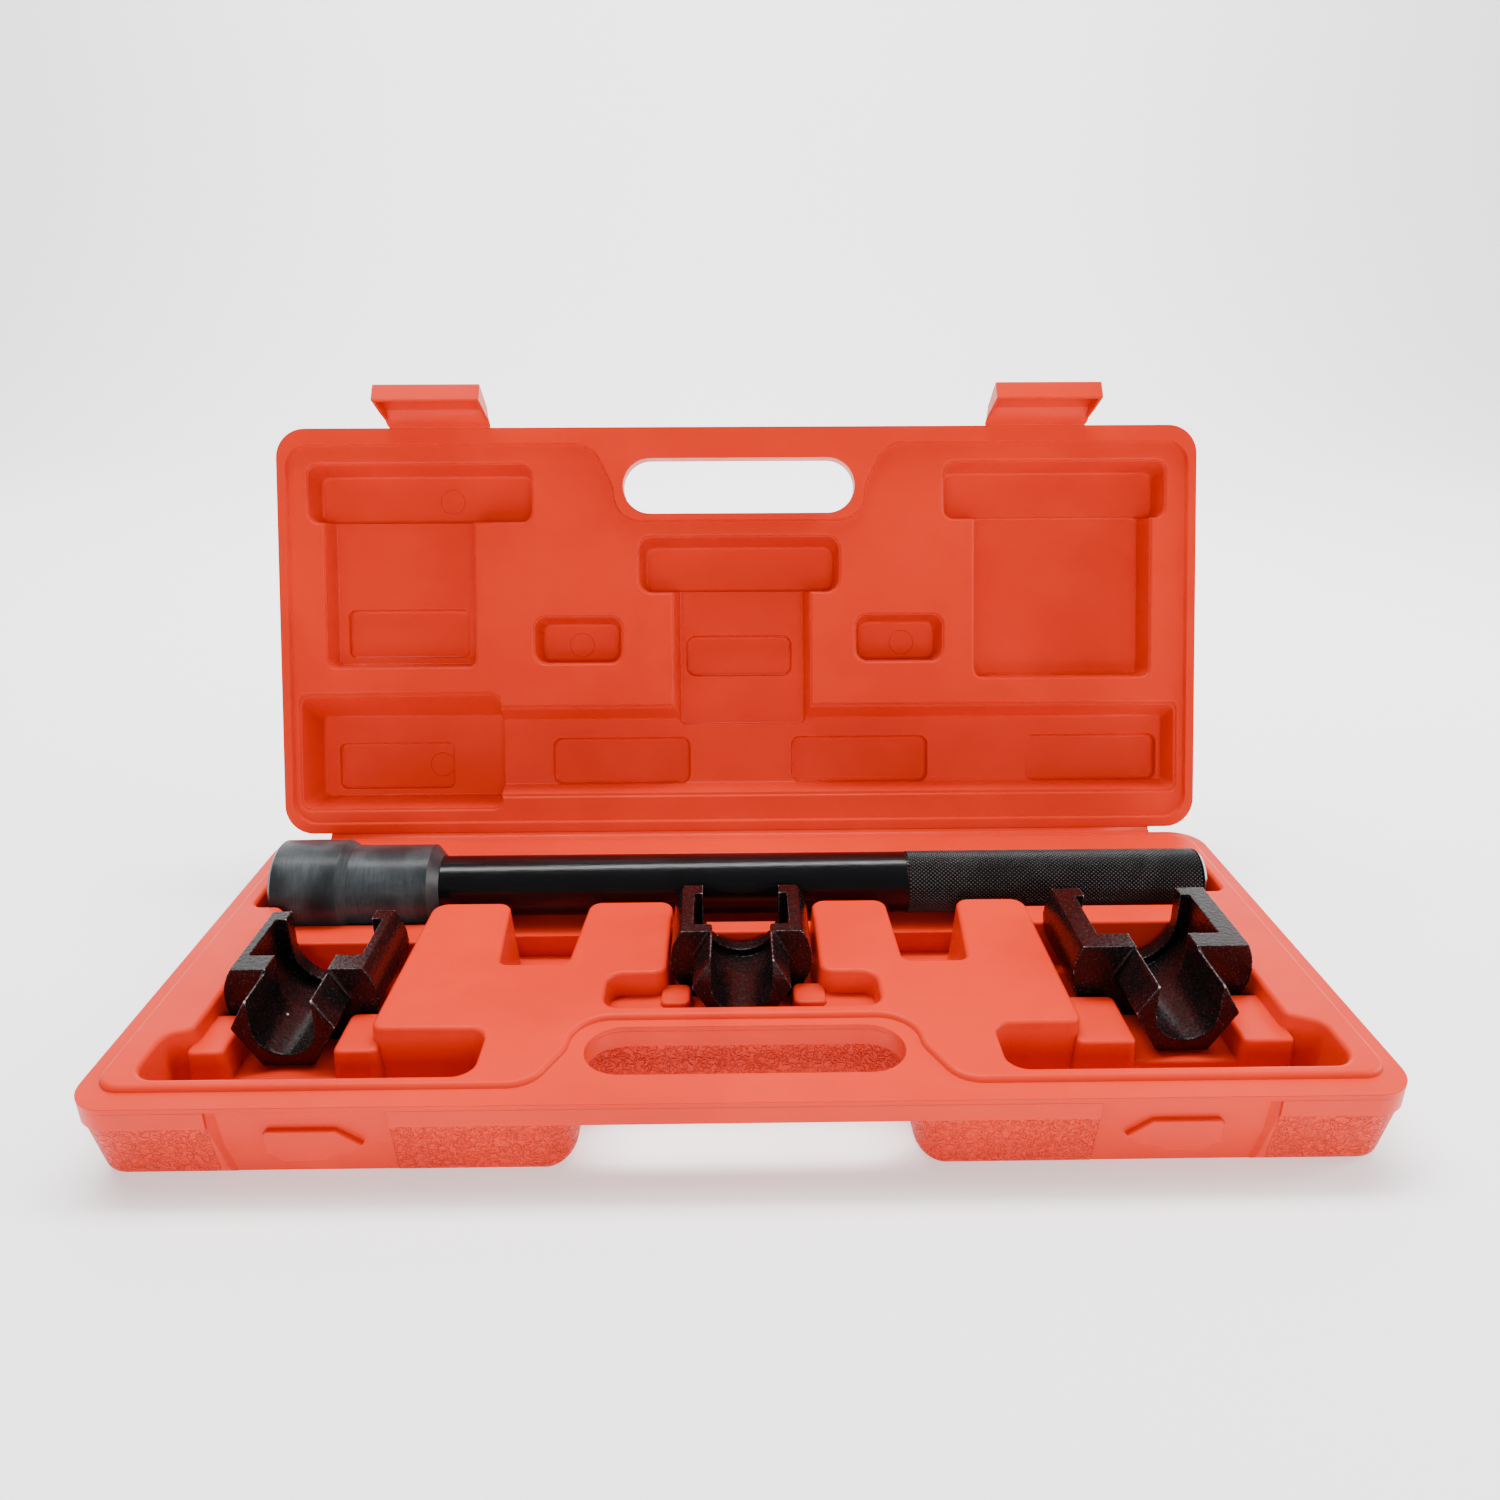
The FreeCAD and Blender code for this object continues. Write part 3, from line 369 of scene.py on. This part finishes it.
# ---- materials on the CAD nodes -------------------------------------------------------------------
base_skin = case_plastic("case_base_outer", base_grain)
lid_skin = case_plastic("case_lid_outer", lid_grain)
inner_skin = case_plastic("case_inner")
tube_steel = black_steel("black_steel_tube", (1.0, 14.0, 14.0), (0.05, 0.05, 1.0),
                         (0.002, 0.002, 0.0025, 1), (0.006, 0.006, 0.007, 1), (0.16, 0.26), knurled=True)
head_steel = black_steel("black_steel_head", (30.0, 1.0, 1.0), (1.0, 1.0, 0.05),
                         (0.007, 0.008, 0.009, 1), (0.060, 0.068, 0.072, 1), (0.28, 0.40))
casting = cast_black("cast_black")
wire = bright_wire("spring_wire")

for node, material in (("case_base_shell", base_skin), ("case_base_tray", inner_skin),
                       ("case_lid_shell", lid_skin), ("case_lid_tray", inner_skin),
                       ("hinge_web", inner_skin), ("latch_left", inner_skin), ("latch_right", inner_skin),
                       ("wrench_tube", tube_steel), ("socket_head", head_steel), ("drive_plug", head_steel),
                       ("retaining_ring", wire), ("crowfoot_small", casting), ("crowfoot_medium", casting),
                       ("crowfoot_large", casting)):
    nodes[node].data.materials.clear()
    nodes[node].data.materials.append(material)


# ---- adapters and latches with worn edges ---------------------------------------------------------
for name in ("small", "medium", "large"):
    node = "crowfoot_" + name
    foot = softened_copy(node, node + "_casting", 0.50 * MM, 2, casting, 0.26 * MM, 1.3 * MM)
    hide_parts(node)
    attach(foot, node)

for side in ("left", "right"):
    node = "latch_" + side
    latch = softened_copy(node, node + "_moulding", 0.30 * MM, 2, inner_skin)
    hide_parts(node)
    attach(latch, node)


# ---- living hinges --------------------------------------------------------------------------------
def film(name, x0, x1, path, thickness, material):
    """A thin strip between x0 and x1 that follows a path of (y, z) points."""
    points = []
    for k, (y, z) in enumerate(path):
        before = path[max(k - 1, 0)]
        after = path[min(k + 1, len(path) - 1)]
        dy, dz = after[0] - before[0], after[1] - before[1]
        length = math.hypot(dy, dz)
        points.append(((y, z), (-dz / length * thickness / 2, dy / length * thickness / 2)))
    loop = [(p[0] + n[0], p[1] + n[1]) for p, n in points]
    loop += [(p[0] - n[0], p[1] - n[1]) for p, n in reversed(points)]
    vertices = []
    for c in range(FILM_COLUMNS):
        x = x0 + (x1 - x0) * c / (FILM_COLUMNS - 1)
        vertices += [(x, y, z) for y, z in loop]
    n = len(loop)
    faces = []
    for c in range(FILM_COLUMNS - 1):
        for k in range(n):
            a, b = c * n + k, c * n + (k + 1) % n
            faces.append((a, b, b + n, a + n))
    faces.append(tuple(range(n - 1, -1, -1)))
    faces.append(tuple(range((FILM_COLUMNS - 1) * n, FILM_COLUMNS * n)))
    return mesh_object(name, vertices, faces, material)


def bow(start, end, sag, steps=12):
    """Points from start to end, bowed by sag to the right of that direction."""
    dy, dz = end[0] - start[0], end[1] - start[1]
    length = math.hypot(dy, dz)
    path = []
    for k in range(steps + 1):
        t = k / steps
        lift = sag * 4 * t * (1 - t)
        path.append((start[0] + dy * t + dz / length * lift, start[1] + dz * t - dy / length * lift))
    return path


base_edge = (CASE_HALF_DEPTH, RIM_Z - 0.5 * MM)
lid_edge_point = lid_point(0, 1.9, 0.5)
lid_edge = (lid_edge_point.y, lid_edge_point.z)
web = film("hinge_film", -HINGE_REACH, HINGE_REACH, bow(base_edge, lid_edge, 0.5 * MM), HINGE_FILM,
           inner_skin)
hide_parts("hinge_web")
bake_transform(web)

for side in ("left", "right"):
    axis = Vector(joints["latch_%s_hinge" % side]["pos_m"])
    edge = lid_point(0, 212.5, 0.3)
    latch_film = film("latch_film_" + side, axis.x - LATCH_REACH, axis.x + LATCH_REACH,
                      bow((edge.y, edge.z), (axis.y, axis.z), 0.12 * MM, 6), LATCH_FILM, inner_skin)
    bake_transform(latch_film)


# ---- knurled tube ---------------------------------------------------------------------------------
def knurled_tube(name, material):
    """The wrench's tube as one closed surface, with diamond knurling over its grip."""
    halves = 2 * KNURLS_AROUND
    start = TUBE_BOX[0][0]
    end = TUBE_BOX[1][0]
    rows = 2 * round((GRIP_END - GRIP_START) / KNURL_PITCH)
    step = (GRIP_END - GRIP_START) / rows
    vertices = []
    faces = []

    def add(x, half, radius):
        angle = half * math.pi / KNURLS_AROUND
        vertices.append((x, TOOL_Y + radius * math.cos(angle), TOOL_Z + radius * math.sin(angle)))
        return len(vertices) - 1

    def ring(x, radius):
        return [add(x, half, radius) for half in range(halves)]

    def join(ring_a, ring_b):
        count = len(ring_a)
        for i in range(count):
            j = (i + 1) % count
            faces.append((ring_a[i], ring_a[j], ring_b[j], ring_b[i]))

    low = {}
    for row in range(rows + 1):
        for half in range((row + 1) % 2, halves, 2):
            low[row, half] = add(GRIP_START + row * step, half, KNURL_CORE)
    for row in range(1, rows):
        for half in range(row % 2, halves, 2):
            corners = [(row - 1, half), (row, half - 1), (row + 1, half), (row, half + 1)]
            foot = [low[r, h % halves] for r, h in corners]
            top = [add(GRIP_START + (row + (r - row) * KNURL_FLAT) * step, half + (h - half) * KNURL_FLAT,
                       KNURL_CREST) for r, h in corners]
            for i in range(4):
                j = (i + 1) % 4
                faces.append((foot[i], foot[j], top[j], top[i]))
            faces.append(tuple(top))
    near = [low[(half + 1) % 2, half] for half in range(halves)]
    far = [low[rows - (half + rows + 1) % 2, half] for half in range(halves)]
    path = [(GRIP_END + 0.1 * MM, KNURL_CORE), (GRIP_END + 0.25 * MM, GRIP_END_R),
            (end - END_CHAMFER, GRIP_END_R), (end, GRIP_END_R - END_CHAMFER), (end, PLUG_SEAT_R),
            (end - PLUG_SEAT_DEPTH, PLUG_SEAT_R), (end - PLUG_SEAT_DEPTH, BORE_R), (start, BORE_R),
            (start, TUBE_R), (GRIP_START - 0.4 * MM, TUBE_R), (GRIP_START - 0.1 * MM, KNURL_CORE)]
    rings = [far] + [ring(x, radius) for x, radius in path] + [near]
    for ring_a, ring_b in zip(rings, rings[1:]):
        join(ring_a, ring_b)
    tube = mesh_object(name, vertices, faces, material)
    made = bmesh.new()
    made.from_mesh(tube.data)
    bmesh.ops.recalc_face_normals(made, faces=made.faces)
    made.to_mesh(tube.data)
    made.free()
    tube.data.set_sharp_from_angle(angle=math.radians(22))
    return tube


tube = knurled_tube("knurled_tube", tube_steel)
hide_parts("wrench_tube")
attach(tube, "wrench")


# ---- small marks in the lid -----------------------------------------------------------------------
def mould_mark(name, x, along, depth, material):
    """A hair-thin raised ring left by the mould on a lid floor."""
    steps = 48
    section = 6
    centre = lid_point(x, along, depth)
    vertices = []
    for k in range(steps):
        a = 2 * math.pi * k / steps
        for j in range(section):
            b = 2 * math.pi * j / section
            r = MARK_R * MM + MARK_LINE * math.cos(b)
            vertices.append(centre + Vector((1, 0, 0)) * (r * math.cos(a)) + LID_UP * (r * math.sin(a))
                            - LID_IN * (MARK_LINE * math.sin(b)))
    faces = []
    for k in range(steps):
        for j in range(section):
            k2, j2 = (k + 1) % steps, (j + 1) % section
            faces.append((k * section + j, k2 * section + j, k2 * section + j2, k * section + j2))
    mark = mesh_object(name, vertices, faces, material)
    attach(mark, "lid")


MARK_PLACES = ((-153.4, 177.7, 18.0), (-85.0, 100.9, 16.5), (87.1, 101.3, 16.5), (-163.6, 36.6, 25.2))
for index, (x, along, depth) in enumerate(MARK_PLACES):
    mould_mark("mould_mark_%d" % (index + 1), x, along, depth, inner_skin)


# ---- stage ----------------------------------------------------------------------------------------
def stage_sweep():
    """A pale floor that curves up into a backdrop far behind the case."""
    graph = Graph("pale_paper")
    tone = graph.noise(3.0, 3.0, 0.5)
    paper = graph.mix(tone, (0.93, 0.93, 0.93, 1), (0.96, 0.96, 0.96, 1))
    graph.put(graph.shader.inputs["Base Color"], paper)
    graph.shader.inputs["Roughness"].default_value = 0.8
    graph.shader.inputs["Emission Color"].default_value = (1.0, 1.0, 1.0, 1)
    graph.shader.inputs["Emission Strength"].default_value = 0.50
    half_width = 5.0
    turn_y = 1.6
    turn_r = 1.2
    steps = 16
    profile = [(-4.0, 0.0)]
    for k in range(steps + 1):
        angle = math.pi / 2 * k / steps
        profile.append((turn_y + turn_r * math.sin(angle), turn_r * (1 - math.cos(angle))))
    profile.append((turn_y + turn_r, 5.0))
    vertices = []
    for y, z in profile:
        vertices += [(-half_width, y, z), (half_width, y, z)]
    faces = [(2 * k, 2 * k + 1, 2 * k + 3, 2 * k + 2) for k in range(len(profile) - 1)]
    mesh_object("sweep", vertices, faces, graph.material)


def soft_light(name, place, target, width, height, power, shines=True):
    """An area light; one that doesn't shine leaves no reflection of itself."""
    data = bpy.data.lights.new(name, "AREA")
    data.shape = "RECTANGLE"
    data.size = width
    data.size_y = height
    data.energy = power
    light = bpy.data.objects.new(name, data)
    bpy.context.scene.collection.objects.link(light)
    light.location = place
    light.rotation_mode = "QUATERNION"
    light.rotation_quaternion = (Vector(target) - Vector(place)).to_track_quat("-Z", "Y")
    light.visible_glossy = shines


def camera():
    """The camera, in front of the case and looking slightly down into it."""
    data = bpy.data.cameras.new("camera")
    data.lens = 26.5
    data.sensor_width = 36.0
    data.clip_start = 0.01
    view = bpy.data.objects.new("camera", data)
    bpy.context.scene.collection.objects.link(view)
    pitch = math.radians(21.84)
    yaw = math.radians(0.76)
    roll = math.radians(-0.18)
    ahead = Vector((math.sin(yaw) * math.cos(pitch), math.cos(yaw) * math.cos(pitch), -math.sin(pitch)))
    view.rotation_mode = "QUATERNION"
    view.rotation_quaternion = ahead.to_track_quat("-Z", "Y")
    view.rotation_quaternion = view.rotation_quaternion @ Matrix.Rotation(roll, 4, "Z").to_quaternion()
    view.location = (-2.4 * MM, -418.7 * MM, 292.7 * MM)
    bpy.context.scene.camera = view


stage_sweep()
world = bpy.data.worlds.new("studio")
bpy.context.scene.world = world
world.use_nodes = True
world.node_tree.nodes["Background"].inputs["Color"].default_value = (1.0, 1.0, 1.0, 1)
world.node_tree.nodes["Background"].inputs["Strength"].default_value = 0.16
soft_light("top", (-0.15, 0.30, 1.45), (0.0, 0.0, 0.05), 1.3, 0.25, 19.0)
soft_light("front", (0.0, -1.65, 0.55), (0.0, 0.0, 0.12), 1.6, 0.6, 31.0, shines=False)
soft_light("right", (1.30, 0.05, 0.60), (0.1, 0.0, 0.05), 0.5, 0.9, 12.0)
soft_light("backdrop", (0.0, 0.9, 2.2), (0.0, 2.0, 0.3), 3.0, 1.0, 170.0, shines=False)
camera()
